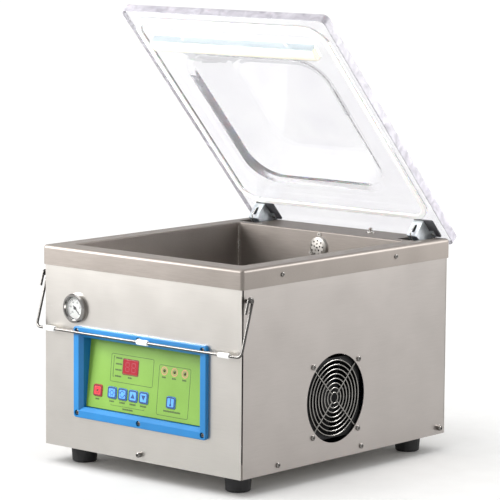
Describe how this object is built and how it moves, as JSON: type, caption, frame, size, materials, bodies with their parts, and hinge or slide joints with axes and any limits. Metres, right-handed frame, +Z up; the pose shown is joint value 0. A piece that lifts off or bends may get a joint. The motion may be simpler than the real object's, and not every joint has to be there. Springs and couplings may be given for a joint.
{
  "type": "vacuum packing machine",
  "caption": "Table-top chamber vacuum packing machine with clear hinged lid, heat-sealing bar, control panel, gauge, bail and cooling fan.",
  "frame": {"origin": "on the table under the middle of the whole machine as it stands with its lid open", "axes": "+Z up, +X to the machine's right seen from the front, +Y from its front to its back"},
  "size_m": [0.4178, 0.5153, 0.685],
  "materials": {
    "casing_steel": "fine satin grain",
    "pan_steel": "satin",
    "rubber_black": "matt",
    "bright_steel": "polished",
    "zinc_plate": "bright zinc plated",
    "clear_acrylic": "clear, polished",
    "white_silicone": "satin",
    "cream_silicone": "satin",
    "grey_aluminium": "satin anodised",
    "black_pad": "matt",
    "blue_plastic": "semi-gloss",
    "green_overlay": "satin printed film",
    "key_blue": "satin",
    "key_red": "satin",
    "red_window": "tinted",
    "lamp_lens": "tinted",
    "board_green": "solder mask",
    "black_plastic": "moulded",
    "white_plastic": "moulded",
    "dial_white": "matt enamel",
    "needle_black": "matt",
    "gauge_glass": "clear",
    "cast_grey": "grey enamel over casting",
    "motor_paint": "semi-gloss enamel",
    "rotor_steel": "turned",
    "transformer_core": "varnished",
    "brass_valve": "machined",
    "hose_clear": "matt",
    "tape_brown": "coated glass cloth",
    "nichrome": "bare strip"
  },
  "bodies": {
    "machine": {"base_tray": "casing_steel", "front_panel": "casing_steel", "left_panel": "casing_steel", "right_panel": "casing_steel", "back_panel": "casing_steel", "chamber_pan": "pan_steel", "feet": "rubber_black", "casing_screws": "bright_steel", "suction_cap": "bright_steel", "suction_elbow": "grey_aluminium", "lift_cylinders": "grey_aluminium", "fan_guard": "bright_steel", "fan_frame": "black_plastic", "fan_screws": "bright_steel", "control_frame": "blue_plastic", "control_face": "green_overlay", "display_window": "red_window", "indicator_lamps": "lamp_lens", "frame_screws": "bright_steel", "control_board": "board_green", "gauge_case": "bright_steel", "gauge_dial": "dial_white", "gauge_lens": "gauge_glass", "hinge_supports": "zinc_plate", "hinge_pins": "bright_steel", "bail_posts": "bright_steel", "switch_bush": "bright_steel", "micro_switch": "black_plastic", "pump_motor": "motor_paint", "pump_head": "cast_grey", "oil_tank": "cast_grey", "transformer": "transformer_core", "solenoid_valves": "brass_valve", "hoses": "hose_clear", "power_inlet": "black_plastic"},
    "lid": {"lid_shell": "clear_acrylic", "lid_gasket": "white_silicone", "silicone_bar": "cream_silicone", "bar_holder": "grey_aluminium", "lid_bolts": "bright_steel", "hinge_channels": "zinc_plate", "hinge_pads": "black_pad", "hinge_springs": "bright_steel"},
    "bail": {"bail_wire": "bright_steel", "bail_sleeves": "white_plastic"},
    "seal_lift": {"seal_bar": "grey_aluminium", "heating_strip": "nichrome", "sealing_tape": "tape_brown", "lift_pistons": "bright_steel"},
    "fan": {"fan_impeller": "black_plastic"},
    "pump_shaft": {"pump_rotor": "rotor_steel"},
    "needle": {"gauge_needle": "needle_black"},
    "plunger": {"switch_plunger": "bright_steel"},
    "power_key": {"rocker": "black_plastic"},
    "cap_stop": {"key_stop": "key_red"},
    "cap_set": {"key_set": "key_blue"},
    "cap_mode": {"key_mode": "key_blue"},
    "cap_up": {"key_up": "key_blue"},
    "cap_down": {"key_down": "key_blue"},
    "cap_temperature": {"key_temperature": "key_blue"}
  },
  "joints": [
    {"name": "lid_hinge", "type": "hinge", "parent": "machine", "child": "lid", "pos_m": [0, 0.2278, 0.3151], "axis": [1, 0, 0], "range_deg": [0, 47.7], "stiffness_Nm_per_rad": 2.8, "springref_deg": -137.51},
    {"name": "bail_swing", "type": "hinge", "parent": "machine", "child": "bail", "pos_m": [0, -0.2322, 0.2856], "axis": [-1, 0, 0], "range_deg": [0, 199.6]},
    {"name": "seal_lift_slide", "type": "slide", "parent": "machine", "child": "seal_lift", "axis": [0, 0, 1], "range_m": [0, 0.009]},
    {"name": "fan_spin", "type": "hinge", "parent": "machine", "child": "fan", "pos_m": [0.1734, -0.0292, 0.118], "axis": [1, 0, 0], "continuous": true},
    {"name": "pump_spin", "type": "hinge", "parent": "machine", "child": "pump_shaft", "pos_m": [0, 0.0988, 0.093], "axis": [1, 0, 0], "continuous": true},
    {"name": "needle_swing", "type": "hinge", "parent": "machine", "child": "needle", "pos_m": [-0.132, -0.2412, 0.241], "axis": [0, -1, 0], "range_deg": [0, 270], "stiffness_Nm_per_rad": 0.0002, "springref_deg": -11.46},
    {"name": "plunger_slide", "type": "slide", "parent": "machine", "child": "plunger", "axis": [0, 0, -1], "range_m": [0, 0.0054]},
    {"name": "power_rock", "type": "hinge", "parent": "machine", "child": "power_key", "pos_m": [-0.12, 0.2398, 0.102], "axis": [1, 0, 0], "range_deg": [0, 20]},
    {"name": "stop_press", "type": "slide", "parent": "machine", "child": "cap_stop", "axis": [0, 0.9947, -0.1032], "range_m": [0, 0.0005], "stiffness_N_per_m": 400, "springref_m": -0.002},
    {"name": "set_press", "type": "slide", "parent": "machine", "child": "cap_set", "axis": [0, 0.9947, -0.1032], "range_m": [0, 0.0005], "stiffness_N_per_m": 400, "springref_m": -0.002},
    {"name": "mode_press", "type": "slide", "parent": "machine", "child": "cap_mode", "axis": [0, 0.9947, -0.1032], "range_m": [0, 0.0005], "stiffness_N_per_m": 400, "springref_m": -0.002},
    {"name": "up_press", "type": "slide", "parent": "machine", "child": "cap_up", "axis": [0, 0.9947, -0.1032], "range_m": [0, 0.0005], "stiffness_N_per_m": 400, "springref_m": -0.002},
    {"name": "down_press", "type": "slide", "parent": "machine", "child": "cap_down", "axis": [0, 0.9947, -0.1032], "range_m": [0, 0.0005], "stiffness_N_per_m": 400, "springref_m": -0.002},
    {"name": "temperature_press", "type": "slide", "parent": "machine", "child": "cap_temperature", "axis": [0, 0.9947, -0.1032], "range_m": [0, 0.0005], "stiffness_N_per_m": 400, "springref_m": -0.002}
  ],
  "couplings": [
    {"joint": "plunger_slide", "follows": "lid_hinge", "m_per_rad": 0.006246}
  ]
}
